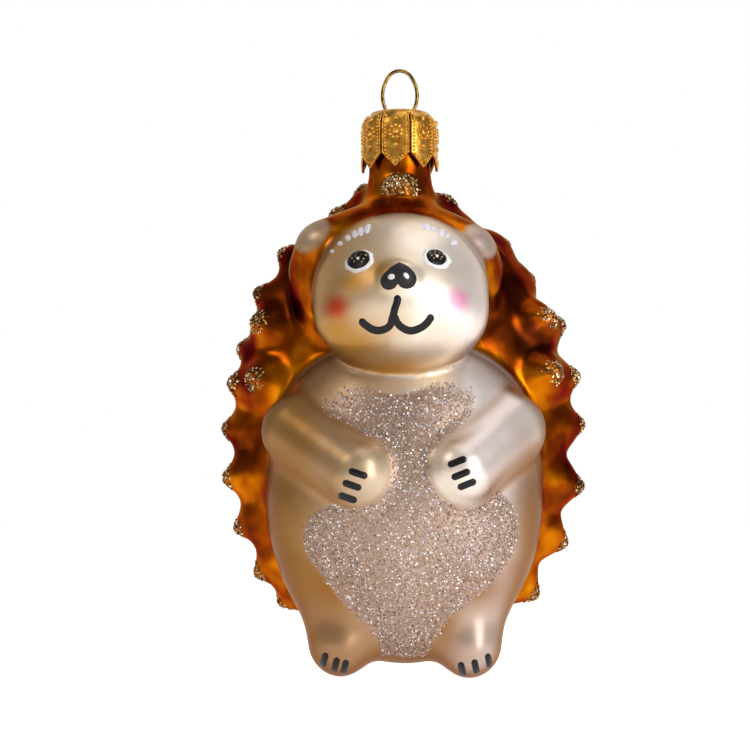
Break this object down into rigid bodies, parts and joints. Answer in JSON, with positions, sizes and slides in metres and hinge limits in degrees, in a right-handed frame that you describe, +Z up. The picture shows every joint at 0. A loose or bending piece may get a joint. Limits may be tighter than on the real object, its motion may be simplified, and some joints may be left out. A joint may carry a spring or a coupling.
{
  "type": "hedgehog figurine",
  "caption": "Hanging hedgehog figurine of hollow blown glass with painted face, glittered belly and spines, slit crown cap and a spring-wire hanging eye.",
  "frame": {"origin": "top inside of the wire eye, the point where a hook or branch bears when the ornament hangs", "axes": "+Z up along the neck, the face looks along -Y, +X to the right of someone facing it"},
  "size_m": [0.0653, 0.0532, 0.1062],
  "materials": {
    "lacquered_glass": "silvered inside, satin pearl lacquer in front and amber lacquer on the back",
    "gold_cap": "stamped bright gold",
    "gold_wire": "drawn wire",
    "pale_glitter": "iridescent white glitter in clear glue",
    "gold_glitter": "bronze-gold glitter in clear glue",
    "black_enamel": "brushed gloss enamel",
    "white_enamel": "brushed gloss enamel"
  },
  "bodies": {
    "ornament": {"glass_body": "lacquered_glass", "belly_glitter": "pale_glitter", "spine_glitter": "gold_glitter", "bead_glitter": "gold_glitter", "nose_enamel": "black_enamel", "mouth_enamel": "black_enamel", "eye_whites": "white_enamel", "eye_pupils": "black_enamel", "brow_dabs": "white_enamel", "nose_dabs": "white_enamel", "paw_claws": "black_enamel", "foot_claws": "black_enamel"},
    "hanger": {"wire_hanger": "gold_wire"},
    "cap": {"crown_cap": "gold_cap"}
  },
  "joints": [
    {"name": "hanger_pull", "type": "slide", "parent": "ornament", "child": "hanger", "axis": [0, 0, 1], "range_m": [0, 0.02]},
    {"name": "cap_lift", "type": "slide", "parent": "hanger", "child": "cap", "axis": [0, 0, 1], "range_m": [0, 0.001]}
  ]
}
